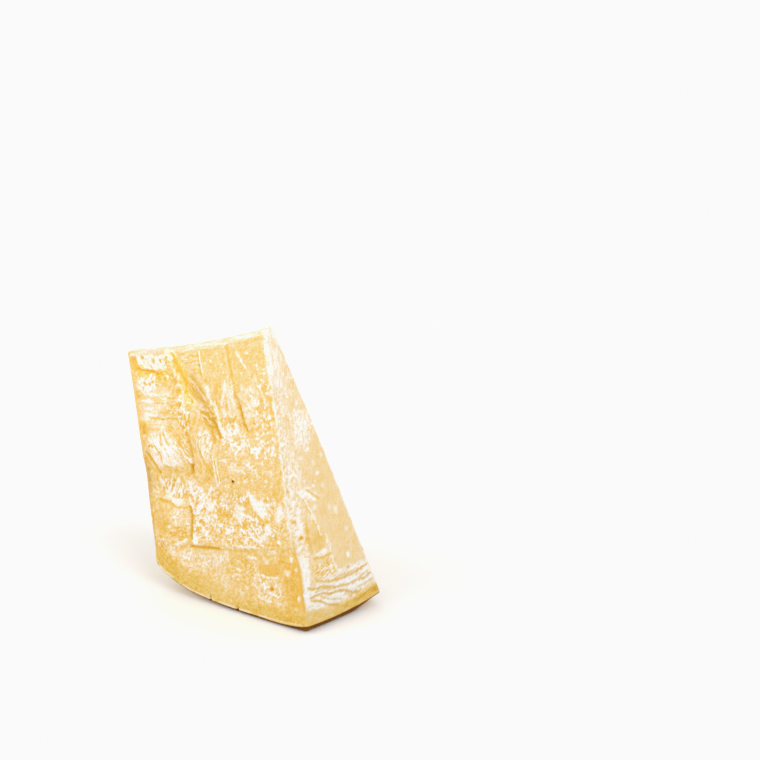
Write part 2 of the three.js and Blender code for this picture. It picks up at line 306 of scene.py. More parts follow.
# Its lines: tone, width, and the points (b, q) of each
FRONT_LINES = [
    (0.42, 3.4, [(66.4, 127), (64.6, 121.4), (61.4, 117), (60.8, 114.6)]),
    (0.32, 1.5, [(68, 131), (67.4, 126), (64.6, 121.4), (61, 117), (60.4, 114.6)]),
    (0.34, 1.3, [(60.4, 114.6), (62, 111), (59, 108.6), (57.5, 105.5), (56, 103.6)]),
    (0.52, 0.9, [(84, 105.4), (78, 105.7), (70, 105.2)]), (0.4, 1.1, [(88, 97.8), (80, 97.9), (69, 98.6)]),
    (0.34, 0.9, [(74, 108.2), (69.4, 108.3)]), (0.6, 0.8, [(92, 107.6), (84, 108), (78, 107.4)]),
    (0.62, 0.8, [(91, 94.6), (82, 95.2), (76, 94.6)]),
    (0.38, 0.9, [(60, 119.6), (54, 115.6), (48, 110.4), (44, 107)], [(45.7, 135), (45.5, 128), (45.2, 121)]),
    (0.4, 0.9, [(60, 116), (54, 112), (47.5, 107.2)], [(81.6, 91.2), (80.4, 88.6), (79.3, 85.8)],
     [(79, 91), (76.6, 88.6), (74, 85.6)]), (0.4, 0.8, [(59, 112.6), (53, 109), (48, 105.6)]),
    (0.84, 1, [(58, 118.4), (51, 113.2), (45.6, 108.6)]),
    (0.82, 0.8, [(60, 110), (55.4, 106.4), (53.8, 103.8)]),
    (0.84, 1, [(57.6, 105.6), (55, 102.4), (51.6, 98.8)]),
    (0.34, 1.5, [(51, 101.8), (46.6, 101.2), (42.6, 99.6), (40.2, 97.4)]),
    (0.36, 1, [(50.6, 98.2), (45.6, 98.2), (42.4, 96.4)]),
    (0.38, 1, [(50, 105.2), (45, 104.4), (41.8, 102.2)]),
    (0.84, 1, [(51.6, 100.2), (46.6, 99.8), (43.4, 98)], [(51.2, 103.6), (46, 103), (42.8, 100.9)],
     [(10.5, 121), (5, 107)]), (0.32, 1.6, [(39.6, 97.6), (38.9, 94.4), (38.2, 91)]),
    (0.38, 1.5, [(43, 95.6), (43.2, 92), (42, 88.6)]),
    (0.34, 1.2, [(63.6, 91), (62.6, 87), (62.3, 82), (62.7, 77.6)]),
    (0.4, 1.3, [(55.6, 85), (53, 79.4), (50.6, 75.4), (48, 72.4)]),
    (0.46, 0.9, [(58.6, 85), (56.6, 79), (54.6, 73.4)]), (0.4, 1, [(25.3, 137), (25.2, 126), (24.8, 118)]),
    (0.4, 1.2, [(25.2, 118), (24.6, 110.6), (23.6, 105)]),
    (0.26, 1.6, [(23.6, 105), (22.6, 101), (21.4, 98.2), (19.6, 95.4)]), (0.48, 1, [(35.6, 117), (38, 106)]),
    (0.34, 0.8, [(46.6, 82.6), (46.8, 75.6)]),
    (0.42, 0.8, [(42.9, 80), (42.2, 70)], [(76.6, 84.4), (75, 80.4)]),
    (0.38, 1.2, [(90, 84), (85.6, 84.6), (82.4, 83), (80.7, 80.6), (80.3, 77.4)]),
    (0.4, 0.9, [(85.2, 80.7), (82.9, 80.8)], [(88.6, 70), (88.8, 63.6)]),
    (0.46, 0.8, [(93, 92.4), (87, 92.6), (82, 93)]), (0.46, 0.7, [(72.4, 91.4), (68, 88.4), (64, 85)]),
    (0.52, 0.7, [(71, 87), (68, 82.4), (66, 78)], [(69.4, 90), (66.4, 85), (64.6, 80.6)]),
    (0.36, 1.5, [(88.8, 57.2), (85, 56.8), (82, 56.2)]),
    (0.42, 0.9, [(82, 56), (77.6, 54.2), (71.6, 54.2), (69, 55)]), (0.24, 1.3, [(68.6, 55.2), (67.7, 53.4)]),
    (0.34, 1.1, [(67.8, 54.4), (67.6, 50.8), (68.3, 45.4), (69.2, 40.4)]),
    (0.3, 1, [(66.2, 62.4), (66, 59.6)]), (0.36, 1.2, [(69.6, 35.6), (60, 36), (50, 36.2)]),
    (0.46, 0.8, [(50, 36.2), (38, 36), (26, 36.4)]), (0.36, 0.8, [(12, 33.4), (6, 32.4)]),
    (0.95, 1, [(44.5, 134.6), (44.3, 127), (43.6, 121.4)], [(23.2, 79.3), (21.6, 78.6), (19.6, 76.6)]),
    (0.78, 0.8, [(47.8, 126.4), (39.7, 126.7)]), (0.8, 0.8, [(27.5, 137.6), (27.3, 128), (27.6, 119)]),
    (0.78, 0.6, [(22.2, 137.9), (19.3, 132.2)]), (0.99, 1.2, [(19.3, 132.2), (15.3, 124.9)]),
    (0.8, 0.6, [(15.3, 124.9), (13.4, 121), (9.6, 111)]), (0.95, 2.4, [(42.2, 115.4), (42, 110.4)]),
    (0.95, 1.6, [(41.2, 108.4), (39.6, 104.4), (37.4, 101.2), (37.2, 96.4), (35.4, 93)],
     [(29, 46.8), (26.8, 44), (23.6, 42.2), (21, 42.4), (19.6, 45)]),
    (0.9, 1, [(39, 108), (37.6, 104.2)], [(25.9, 118), (25.8, 112)], [(17.5, 75.8), (17.4, 73.2)]),
    (0.92, 1, [(40.4, 91.6), (36.6, 90)], [(33.9, 75.8), (26.6, 76)], [(40.6, 80), (37, 80.2)],
     [(59.4, 61.6), (56.8, 65)], [(13, 49.8), (9.6, 48)], [(8.4, 53), (4.6, 60.6)]),
    (0.94, 1, [(30, 118.4), (32.4, 112.4), (34.8, 107)]), (0.92, 1.8, [(34.4, 104.6), (33.4, 101.2)]),
    (0.86, 1, [(32, 103.6), (29, 101.4), (27, 101.8)], [(34.6, 77.3), (29, 77.2)]),
    (0.92, 1.1, [(26.8, 100), (26.6, 96), (25, 92.6)]), (0.99, 0.9, [(45.8, 81.6), (45.4, 74), (45.2, 67.6)]),
    (0.95, 0.9, [(43.9, 81), (43.2, 69)]), (0.36, 0.8, [(44.9, 80), (44.3, 70)]),
    (0.96, 1.5, [(56.6, 59.2), (53, 62.4), (49.9, 65.9)]),
    (0.9, 1, [(65, 57), (60.6, 62.4)], [(71.8, 31), (70.6, 33.4)], [(42.8, 24.4), (38.2, 23.8)]),
    (0.95, 1.4, [(86.4, 68.4), (84.9, 65.6), (84.6, 61.4)]),
    (0.94, 1.2, [(82.6, 60), (80.8, 64.2), (79.2, 68)], [(37, 38.4), (26, 38.8)]),
    (0.92, 1.1, [(79.6, 60.4), (77, 65.4)], [(29.8, 19.8), (28.2, 18.4), (26.4, 19.4)]),
    (0.9, 1.1, [(77, 62.6), (73, 67.6)]), (0.96, 2, [(66, 67.4), (65.6, 62.4), (64.2, 59.4)]),
    (0.96, 1.9, [(67.7, 58.4), (66.4, 55)]), (0.95, 1.1, [(82.6, 35), (77.5, 36.3), (72.6, 38.7)]),
    (0.96, 1.8, [(24.4, 65.6), (22.6, 61.4), (20.2, 57.4), (17.3, 54.6)]),
    (0.94, 1.1, [(16.4, 38), (12.6, 37.6)]), (0.96, 1.2, [(32.4, 33.6), (26.8, 33.4)]),
    (0.88, 1, [(28.6, 30), (28.2, 25.8)], [(45.2, 35.4), (45, 31)]),
    (0.94, 1, [(29.4, 24.8), (25, 25.4), (20, 24.6), (14.4, 25)],
     [(28.8, 15.2), (26, 13.6), (22.4, 13.4), (20.4, 15.4)]), (0.94, 1.4, [(20.4, 17), (17.4, 16.4)]),
    (0.92, 1, [(26.6, 23.4), (24.4, 20.6), (22.4, 20.4)], [(16, 22.6), (14, 19.6), (13.8, 16.6)],
     [(40.6, 27.2), (37.8, 26.6)]), (0.84, 1, [(46.6, 34.6), (46.8, 31)]),
]

# Its spots: tone, half length, half height, turn, places (b, q)
# The darkest spots, of tone 0.2 and less, sit in pits and cracks: painted shadow in those hollows
FRONT_SPOTS = [
    (0.34, 0.8, 1.1, 0, [(88.7, 127.8), (81.7, 125.8), (76.6, 126.2)]),
    (0.46, 0.7, 0.9, 0, [(72, 128), (90.8, 130.4), (67.9, 123.6), (84.8, 123)]),
    (0.95, 0.9, 1, 0, [(73.3, 118.4), (94.2, 112.6), (91.6, 116.4), (89.6, 112), (86.2, 112.2)]),
    (0.95, 0.8, 1.9, -25, [(83.4, 117), (86.6, 117.6)]),
    (0.34, 0.8, 0.5, 0, [(86.5, 114.6), (81.7, 114.4), (84.4, 115.6), (90, 114.6), (93, 119.4)]),
    (0.94, 1.3, 1.1, 0, [(58.4, 56.4), (61.6, 53.4), (63, 47.4), (57, 42.5), (49, 52.5), (9, 43),
     (12.4, 60.4), (42.4, 46)]),
    (0.95, 1, 0.8, 30, [(18, 86.5), (15.2, 85), (13, 87.4), (8.5, 86.5), (23.5, 87.6), (28.4, 89), (4.6, 88),
     (11, 90.6), (5.8, 85)]),
    (0.92, 0.7, 0.6, 0, [(37.2, 127.8), (33, 131.6), (28.8, 134.2), (12.8, 131.8), (30, 122.4), (18.9, 122),
     (4, 122.4), (8, 126), (36, 120.6)]),
    (0.92, 0.9, 0.8, 25, [(9.5, 98), (6.5, 95), (4, 99), (11.5, 108), (7.8, 103), (13.6, 94), (3.6, 92),
     (8.4, 116), (4.2, 113)]), (0.93, 0.9, 1.2, 0, [(3.7, 34.7), (2.1, 16)]),
    (0.8, 1.8, 1.5, 0, [(7.2, 27.8)]), (0.82, 1.3, 0.9, 0, [(15.7, 12), (39.7, 15.2), (0.9, 30)]),
    (0.82, 0.8, 0.7, 0, [(54.7, 16), (57, 20), (63, 24), (30, 10.6), (35.6, 18.4), (4.6, 10.4)]),
    (0.82, 1.8, 0.9, 10, [(20, 32)]),
    (0.93, 0.9, 0.8, 20, [(76.9, 25.8), (81, 24.4), (73, 22.6), (83.7, 44.3), (70.8, 32.4), (43.8, 23)]),
    (0.93, 0.7, 0.7, 0, [(39.2, 68), (30.3, 70.3), (25.8, 71), (21, 71.6), (12, 72), (8, 76), (13, 80),
     (30, 81.6)]), (-0.3, 0.85, 0.62, 0, [(34.2, 70.1)]), (0.1, 1.2, 0.8, 20, [(19.4, 18.9)]),
    (0.3, 0.6, 0.5, 0, [(24.8, 22), (26.8, 21.4), (15, 98.6), (41.9, 53.4), (23.5, 17.4), (50.4, 70.6)]),
    (0.14, 1, 0.5, 14, [(92, 83.6)]), (0.2, 0.9, 0.6, 0, [(85.6, 71)]), (0.08, 0.6, 1.7, 16, [(63.2, 74)]),
    (0.28, 0.7, 0.8, 0, [(45.2, 125.6)]),
]

# Its cracks and dents: depth, width, and the points of each
FRONT_CRACKS = [
    (0.9, 1, [(93.4, 121.8), (90.5, 120.8), (86, 120.3), (80, 119.6)]),
    (0.5, 4, [(67.4, 130), (65, 122.4), (61, 117), (61.6, 112), (58.5, 107)]),
    (1.3, 1.6, [(62.9, 75.8), (63.5, 72.4)]), (0.6, 2.2, [(63.4, 91), (62.5, 85), (62.7, 77)]),
    (0.4, 2.4, [(55.6, 85), (52.6, 79), (48.4, 72.6)]),
    (0.5, 1.4, [(68, 55), (67.6, 50.5), (68.3, 45), (69.2, 39.6)]),
    (0.6, 2, [(24.6, 110.5), (23.2, 103), (20.4, 96.5)]), (0.6, 1.6, [(42.6, 99.6), (40, 97.2), (38.4, 91)]),
    (0.8, 0.9, [(34.4, 70), (34, 70.2)]), (0.7, 1.4, [(19.8, 18.8), (19, 19)]),
    (0.7, 1.6, [(95.2, 80.2), (90.2, 76.2), (86, 71.4)]), (0.4, 1.4, [(69.6, 35.6), (60, 36), (50, 36.2)]),
    (0.9, 1.2, [(61.6, 8), (61.5, 11.4)]), (1, 1.6, [(44.4, 4), (44.2, 7.4)]),
]
# Narrow cracks are darkened: painted shade inside them
CRACK_SHADE_TONE = 0.3
CRACK_WIDTH = 2  # what is wider is a dent, without the cracks' painted shade

# Its brightness, as rows of (q, share), and along lines: share, width, points
FRONT_SHADE = [(0, 0.955), (30, 0.965), (60, 0.985), (110, 1.035), (125, 1.08), (150, 1.08)]
FRONT_SHADE_LINES = [
    (0.2, 7, [(68, 130), (61.5, 119), (61.5, 112), (59, 107)]), (0.12, 6, [(94, 121.5), (74, 118.5)]),
    # painted shade on the slope below the groove, which faces away from the light
    (-0.06, 9, [(57, 117), (50, 107), (42, 98)]),
]

# The smooth middle cut, laid out as the broken face is, with c for b
CUT_GROUND = (0.65, 0.06, 80, 3.5, 1.0)
CUT_AREAS = [
    (-9.6, 126, 4.4, 22, 0, 0.5, 0.8, 0.08, 90, 6, 0.9), (-3, 114, 4, 16, 0, 0.5, 0.69, 0.07, 80, 5, 1),
    (-2.6, 92.5, 5, 9, 0, 0.5, 0.84, 0.12, 60, 2.2, 1), (-13, 96, 3.2, 22, 0, 0.4, 0.74, 0.1, 70, 2, 1),
    (-10, 76, 3, 9, 0, 0.5, 0.74, 0.1, 75, 2.4, 1), (3.6, 62, 9, 24, 0, 0.5, 0.64, 0.03, 82, 5, 1),
    (-15, 56, 3.6, 26, 0, 0.4, 0.74, 0.12, 60, 1.8, 1), (10, 38, 9, 15, 0, 0.5, 0.64, 0.03, 70, 4, 1.2),
    (-5.6, 39, 3.8, 5, 0, 0.5, 0.54, 0.05, 70, 3, 1.2), (-10.7, 43, 1, 8, 0, 0.5, 0.46, 0.05, 80, 3, 1),
    (-5, 33.5, 4, 1.3, -4, 0.4, 0.88, 0.06, 10, 2, 0.9),
    (0.2, 36.6, 0.9, 5.4, 0, 0.5, 0.76, 0.14, 80, 2, 0.9), (-5, 25, 7, 4.4, 0, 0.5, 0.6, 0.2, 8, 2.2, 0.8),
    (-15.8, 26, 2.4, 9, 0, 0.4, 0.9, 0.08, 80, 2.4, 1),
    (-17.2, 15.5, 2.2, 6.5, 0, 0.35, 0.98, 0.03, 80, 3, 1),
    (3.5, 14.6, 21.5, 7.4, 4, 0.15, 0.86, 0.09, 4, 2, 0.6),
]
CUT_SPECKS = [
    (-14, 62, 5, 46, 0.34), (-8, 100, 8, 26, 0.26), (-2, 92, 7, 12, 0.3), (-4, 70, 8, 8, 0.2),
    (3, 14.2, 22, 7, 0.5), (-6, 25, 9, 6, 0.3), (-12, 38, 4, 10, 0.3), (3, 60, 12, 30, 0.05),
]
CUT_LINES = [
    (1, 3.4, [(-9, 63.6), (-6, 62.6), (-3.2, 60.4)]), (0.42, 0.9, [(-6.2, 64.8), (-3.8, 61.9), (-0.6, 59.2)]),
    (0.92, 0.8, [(-7.2, 66.2), (-3.4, 64.9)]), (0.78, 0.6, [(-0.4, 60), (4.2, 58.8)]),
    (0.42, 0.8, [(-8.9, 60.6), (-7.2, 55), (-4.8, 46.4), (-3.9, 42)]),
    (0.97, 0.9, [(-8.4, 60.4), (-6.5, 54.3), (-4.1, 46.2), (-3.2, 41.8)]),
    (0.93, 1.4, [(-12.2, 57.6), (-13.4, 51), (-13.2, 43)]),
    (0.44, 0.9, [(-9.6, 32.3), (-4.5, 31.1), (0.3, 31.3)]), (0.9, 0.8, [(0.3, 30), (1.6, 25.6), (3, 20.4)]),
    (0.78, 0.8, [(15.5, 37.4), (12.8, 32), (11.8, 25.4)]), (0.86, 1, [(-9.4, 80), (-9.2, 72), (-9.5, 66)]),
    (0.9, 1.4, [(-14.6, 94), (-15.1, 86)]),
]
CUT_SPOTS = [
    (0.86, 1.1, 1.3, 0, [(-3.8, 55.6), (-6, 51.6)]),
    (0.82, 1, 1.3, 0, [(3.1, 63.9), (4.5, 52.8), (11.9, 39.8), (0.2, 76), (5.4, 78.2)]),
    (0.84, 1.1, 1.9, 0, [(7.8, 50.6)]), (0.96, 0.9, 1.6, 0, [(10.1, 27.7)]),
    (0.86, 1.2, 0.8, 0, [(6.5, 20.3)]),
    (0.95, 0.7, 0.7, 0, [(-2.1, 65.5), (-4.1, 46.2), (-6.4, 80), (-1.4, 83), (1.4, 70.6)]),
    (0.7, 0.9, 0.8, 0, [(4.6, 43.4), (7, 46.4), (5, 28.4), (14, 30.6), (0.8, 48)]),
    (0.29, 0.8, 0.8, 0, [(-13.9, 43.4)]), (0.4, 0.9, 0.8, 0, [(-16, 66.4), (-15.6, 78), (-15.8, 52)]),
    (0.34, 0.6, 0.6, 0, [(9, 21.6)]),
]
# Folds of the flaky layers: share of the full brown, width, points
CUT_FOLDS = [
    (0.9, 1.1, [(-16, 19.6), (-12.6, 18), (-7.6, 17.4), (-2, 15.2), (3, 14.2), (8, 13.2)]),
    (0.8, 0.9, [(-10.4, 21.8), (-7, 19.6), (-3.4, 18.8)],
     [(-6.4, 16.4), (0.3, 14.6), (7, 13.2), (11.8, 13.8), (17.8, 12.8), (22, 14.4)]),
    (0.6, 0.8, [(-12, 16.4), (-7, 16.2), (-3, 14.2)], [(10, 12.4), (15, 14.6), (20, 16)],
     [(-10, 13.4), (-5, 10.2), (-1, 9), (2, 7.8)]),
    (0.9, 1.3, [(-3, 18.4), (3, 17.8), (8, 17.2), (14, 18), (21, 19.2)]),
    (0.7, 0.8, [(1, 19.4), (6, 18.6), (12, 19.2)]),
    (1, 1.1, [(-15.4, 14.5), (-8, 14.4), (-4.6, 12.6), (0.4, 12.4), (5, 11), (9, 8.6), (13, 7.8)]),
    (1, 0.9, [(-15.4, 13.2), (-11.2, 11.6), (-7.8, 9.2), (-4.6, 7.2), (-0.6, 5.8)]),
    (0.6, 0.7, [(4, 9.6), (8, 7.6)], [(12, 10.4), (17, 10), (22, 11.2)]),
]
FOLD_TONE = 0.4
CUT_RIND_HEIGHT = [(-30, 10), (-14, 8), (-4, 5.4), (6, 5.4), (20, 6.6), (30, 7.4)]  # rows of (c, height)
CUT_SHADE = [(0, 0.88), (10, 0.9), (26, 0.94), (60, 0.97), (110, 1.0), (150, 1.02)]

# The hidden back cut is laid out at random, like the broken face
BACK_GROUND = (0.57, 0.09, 55, 3.5, 1.5)
BACK_AREAS, BACK_FIELDS, BACK_LINES, BACK_SPOTS = 34, 12, 34, 60
BACK_SHADE = [(0, 0.97), (30, 0.98), (60, 1.0), (110, 1.05), (150, 1.08)]

SWING_ALL = 1.2  # strength of all streaks
LIFT = 0.04  # added to the tone of all areas
BAND_FADE = (38, 46)  # q over which the rind's gold edges give way to white ones, painted highlight

# The rind's tone, its brown on the ground, and where that fades: from the rim in, along b, across c
RIND_TONE = 0.46
# The brown on the ground is painted shade where the heel meets the floor
GROUND_SHADE_TONE = 0.17
GROUND_IN, GROUND_ALONG, GROUND_ACROSS = (3, 15), (34, 70), (10, 30)
# The dark brown at the near rims is partly the rind's own and partly painted shade under the rim
# The heel's brown rim: its tone at the near and the far rims, and how far down a point has to face for it
SKIN_AND_SHADE_TONE = (0.14, 0.36)
SKIN_AND_SHADE_STARTS = (0.26, 0.08)
SKIN_AND_SHADE_FADE = 0.18


def specked(x, y, tone, fields, seed, way):
    """The tone with fields of white specks over it, and a few golden ones between."""
    cover = np.full(x.shape, 0.03)
    for cx, cy, half_x, half_y, share in fields:
        cover = np.maximum(cover, share * oval(x, y, way * cx, cy, half_x, half_y, 0, 0.7))
    cloud = 0.5 + 0.8 * ease(-0.6, 0.6, noise(x / 5.5, y / 5.5, seed + 1))
    even = 0.7 * noise(x / 1.9, y / 1.9, seed + 2) + 0.6 * noise(x, y, seed + 3)
    edge = 1.0 - 2.1 * cover * cloud
    white = ease(edge - 0.12, edge + 0.22, even)
    gold = ease(0.75, 1.1, -even + 0.6 * cover)
    return mix(mix(tone, 0.36, 0.7 * gold), 0.98, white)


def paint(x, y, ground, areas, specks, lines, spots, seed, way=1):
    """The level of the areas over the ground, and the tone with streaks, specks, lines and spots. way is -1
    where the first number of a place grows to the left."""
    level, swing, angle, length, width = ground
    level = np.full(x.shape, level)
    part = swing * streaks(x, y, angle, length, width, seed)
    wx, wy = warped(x, y, 0.9, 4.0, seed + 20)
    for k, (ax, ay, half_x, half_y, turn, soft, tone, swing, angle, length, width) in enumerate(areas):
        mask = oval(wx, wy, way * ax, ay, half_x, half_y, turn, soft)
        near = mask > 0
        own = np.zeros(x.shape)
        own[near] = swing * streaks(x[near], y[near], angle, length, width, seed + 31 + 3 * k)
        level, part = mix(level, tone, mask), mix(part, own, mask)
    tone = level + LIFT + SWING_ALL * part + 0.04 * grain(x / 7, y / 7, seed + 19)
    tone = specked(x, y, tone, specks, seed + 15, way)
    wx, wy = warped(x, y, 0.4, 1.8, seed + 25)
    swell = 1 + 0.5 * noise(x / 2.2, y / 2.2, seed + 26)
    gaps = 0.6 + 0.4 * ease(-0.5, 0.1, noise(x / 1.5, y / 1.5, seed + 27))
    for goal, width, *paths in lines:
        for points in paths:
            tone = mix(tone, goal, gaps * stroke(way * wx, wy, points, width * swell))
    for goal, half_x, half_y, turn, places in spots:
        for sx, sy in places:
            tone = mix(tone, goal, oval(wx, wy, way * sx, sy, half_x, half_y, turn, 0.5))
    return level, tone


def front_borders(tone, b, q, under_ridge, over_heel):
    """The tone with the ridge's strip, the rind, the edges and painted highlights, and the share of rind."""
    x = -b
    strip = fall(2.4, 3.4, under_ridge + 0.5 * noise(b / 6, q / 6, 61))
    tone = mix(tone, 0.8 + 0.08 * streaks(x, q, 8, 14, 0.9, 62), strip)
    strip_line = fall(0.15, 0.85, np.abs(under_ridge - 2.9))
    tone = mix(tone, 0.6, 0.8 * strip_line * ease(-0.3, 0.5, noise(b / 9, q / 9, 64)))

    rind = fall(3, 13, over_heel + 2.5 * noise(b / 9, q / 5, 65) - 3.5 * ease(40, 70, b))
    flecks = ease(0.55, 0.8, noise(b / 1.8, q / 1.8, 67))
    rind_tone = 0.45 + 0.06 * streaks(x, q, -15, 3.5, 1.4, 66) + 0.3 * flecks
    rind_tone = rind_tone - 0.06 * fall(8, 26, b) + 0.06 * ease(40, 50, b) * fall(60, 70, b)
    tone = mix(tone, rind_tone, 0.9 * rind)
    # Painted highlight: a bright line just above the heel's rim, more golden near the middle cut
    rim_highlight = inside(1.3, 2.0, 0.5, over_heel) * ease(-0.6, 0.1, noise(b / 7, q / 7, 68))
    tone = mix(tone, 0.84 - 0.16 * fall(8, 40, b), 0.8 * rim_highlight)

    above_band = ease(*BAND_FADE, q)
    # Painted highlight: the edge by the middle cut is white above BAND_FADE
    edge_highlight = fall(1.2, 2.8, b + 0.9 * grain(b / 3, q / 4, 69))
    tone = mix(tone, 0.92 - 0.12 * streaks(x, q, 90, 3, 1, 70), edge_highlight * above_band)
    tone = mix(tone, 0.47, fall(0.4, 1.4, b) * (1 - above_band))
    return mix(tone, 0.55, ease(96.0, 97.2, b) * ease(10, 50, q)), rind


def paint_front(b, q):
    """Tone, shade, share of rind and fine relief of the broken face."""
    t = b / LENGTH
    under_ridge = ridge_level(t) - q
    over_heel = q - heel_level(b, mix(*FRONT_FOOT, t))
    b, q = front_chart(b, q)
    level, tone = paint(-b, q, FRONT_GROUND, FRONT_AREAS, FRONT_SPECKS, FRONT_LINES, FRONT_SPOTS, 100, -1)
    tone, rind = front_borders(tone, b, q, under_ridge, over_heel)
    relief = 0.4 * (tone - level)
    wx, wy = warped(-b, q, 0.28, 1.6, 125)
    for depth, width, *paths in FRONT_CRACKS:
        for points in paths:
            crack = stroke(-wx, wy, points, width)
            relief = relief - depth * crack
            # narrow cracks get painted shade
            if width < CRACK_WIDTH:
                tone = mix(tone, CRACK_SHADE_TONE, 0.85 * crack)
    shade = through(FRONT_SHADE, q)
    for share, width, points in FRONT_SHADE_LINES:
        shade = shade + share * stroke(-wx, wy, points, width)
    return tone, shade, rind, relief


def paint_cut(c, q):
    """The middle cut, as paint_front gives the broken face."""
    over_heel = q - heel_level(0, c)
    w = q / RIDGE_HEIGHT[0]
    from_front = c - mix(FRONT_FOOT[0], RIDGE_PLACE[0], w)
    from_back = mix(BACK_FOOT[0], RIDGE_PLACE[0] + RIDGE_WIDTH, w) + BACK_BULGE[0] * np.sin(np.pi * w) - c
    c, q = cut_chart(c, q)
    level, tone = paint(c, q, CUT_GROUND, CUT_AREAS, CUT_SPECKS, CUT_LINES, CUT_SPOTS, 500)
    wx, wy = warped(c, q, 0.45, 1.6, 564)
    fold = np.zeros(c.shape)
    for share, width, *paths in CUT_FOLDS:
        for points in paths:
            fold = np.maximum(fold, share * stroke(wx, wy, points, width))
    tone = mix(tone, FOLD_TONE, 0.8 * fold)

    back_edge = fall(1.0, 2.1, from_back) * ease(-0.7, 0.1, noise(c / 5, q / 5, 561))
    tone = mix(tone, 0.93, 0.9 * back_edge)
    tone = mix(tone, 0.42, fall(0.9, 1.7, from_front) * fall(36, 46, q))
    top = through(CUT_RIND_HEIGHT, c)
    rind = fall(top - 1.2, top + 0.5, over_heel + 0.7 * noise(c / 4, q / 2.5, 562))
    darker = ease(-6, 10, c) * ease(0.5, 4, over_heel)
    rind_tone = 0.55 + 0.07 * streaks(c, q, 3, 5, 0.8, 563) - 0.16 * darker
    # Painted highlight: a bright line just above the heel's rim
    tone = mix(tone, 0.74, 0.7 * inside(1.3, 2.0, 0.5, over_heel))
    tone = mix(tone, rind_tone, 0.95 * rind)
    return tone, through(CUT_SHADE, q) - 0.1 * fold, rind, 0.35 * (tone - level)


def back_layout():
    """Areas, specks, lines and spots for the back cut."""
    rng = np.random.default_rng(41)
    areas, specks, lines, spots = [], [], [], []
    for _ in range(BACK_AREAS):
        place = rng.uniform(0, LENGTH), rng.uniform(14, 134)
        size = rng.uniform(6, 16), rng.uniform(4, 11)
        swing = rng.choice([0.06, 0.1, 0.14, 0.24])
        turn, tone = rng.uniform(-30, 30), rng.uniform(0.44, 0.74)
        angle = rng.choice([0, 40, 60, 90, 120]) + rng.uniform(-8, 8)
        areas.append((*place, *size, turn, 0.4, tone, swing, angle, rng.uniform(3, 8), rng.uniform(0.9, 1.5)))
    for _ in range(BACK_FIELDS):
        place = rng.uniform(0, LENGTH), rng.uniform(20, 130)
        specks.append((*place, rng.uniform(8, 22), rng.uniform(5, 13), rng.uniform(0.1, 0.44)))
    for k in range(BACK_LINES):
        x, y, turn = rng.uniform(4, LENGTH - 4), rng.uniform(20, 126), rng.uniform(0.6, 2.4)
        points = [(x, y)]
        for _ in range(3):
            turn += rng.uniform(-0.4, 0.4)
            step = rng.uniform(2, 6)
            x, y = x + step * math.cos(turn), y + step * math.sin(turn)
            points.append((x, y))
        lines.append((0.43 if k % 3 == 0 else 0.93, rng.uniform(0.8, 1.5), points))
    for _ in range(BACK_SPOTS):
        size = rng.uniform(0.7, 1.6)
        tone, turn = rng.choice([0.92, 0.92, 0.5]), rng.uniform(0, 90)
        spots.append((tone, size, 0.8 * size, turn, [(rng.uniform(3, LENGTH - 3), rng.uniform(16, 130))]))
    return areas, specks, lines, spots


def paint_back(b, q):
    """The back cut, as paint_front gives the broken face."""
    level, tone = paint(b, q, BACK_GROUND, *back_layout(), 700)
    over_heel = q - heel_level(b, mix(*BACK_FOOT, b / LENGTH))
    rind = fall(4, 11, over_heel + 2 * noise(b / 9, q / 5, 765))
    tone = mix(tone, RIND_TONE + 0.1 * streaks(b, q, 8, 3.5, 1.8, 766), 0.9 * rind)
    return tone, through(BACK_SHADE, q) - 0.05 * rind, rind, 0.4 * (tone - level)


def paint_rind(x, y, seed, shade):
    """Rind: smooth, faintly woven, with a few dents."""
    weave = 0.5 * streaks(x, y, 0, 5.0, 1.1, seed) + 0.5 * streaks(x, y, 90, 5.0, 1.1, seed + 9)
    dents = ease(0.45, 0.75, noise(x / 3.5, y / 3.5, seed + 18))
    cloud = grain(x / 16, y / 16, seed + 20)
    tone = RIND_TONE + 0.05 * weave + 0.05 * cloud - 0.08 * dents
    return tone, np.full(x.shape, shade), np.ones(x.shape), 0.12 * weave - 0.35 * dents


def paint_heel(b, c, front_c, back_c):
    """The rind that the chunk stands on, with brown painted shade in the corner on the ground."""
    tone, shade, rind, relief = paint_rind(b, c, 821, 1.0)
    from_rim = np.minimum(np.minimum(b, LENGTH - b), np.minimum(c - front_c, back_c - c))
    away = ease(*GROUND_IN, from_rim), ease(*GROUND_ALONG, b), ease(*GROUND_ACROSS, c)
    # painted shade: brown where the heel meets the ground, near the rims by the middle cut and broken face
    brown = (1 - away[0]) * (1 - away[1]) * (1 - away[2])
    return mix(tone, GROUND_SHADE_TONE, brown), shade, rind, relief


def paint_end(c, q, front_c):
    """The rind of the wheel's end, lighter next to the broken face: painted light where it rounds away."""
    tone, shade, rind, relief = paint_rind(c, q, 801, 0.92)
    # painted light next to the broken face, where the rounded edge turns from the light
    edge_light = fall(0.5, 4, c - front_c)
    return mix(tone, 0.66, edge_light), mix(shade, 1.04, edge_light), rind * (1 - edge_light), relief


def paint_ridge(b, c):
    """The narrow strip on top."""
    part = 0.1 * streaks(b, c, 0, 9.0, 0.9, 841)
    return 0.76 + part, np.full(b.shape, 1.09), np.zeros(b.shape), 0.6 * part


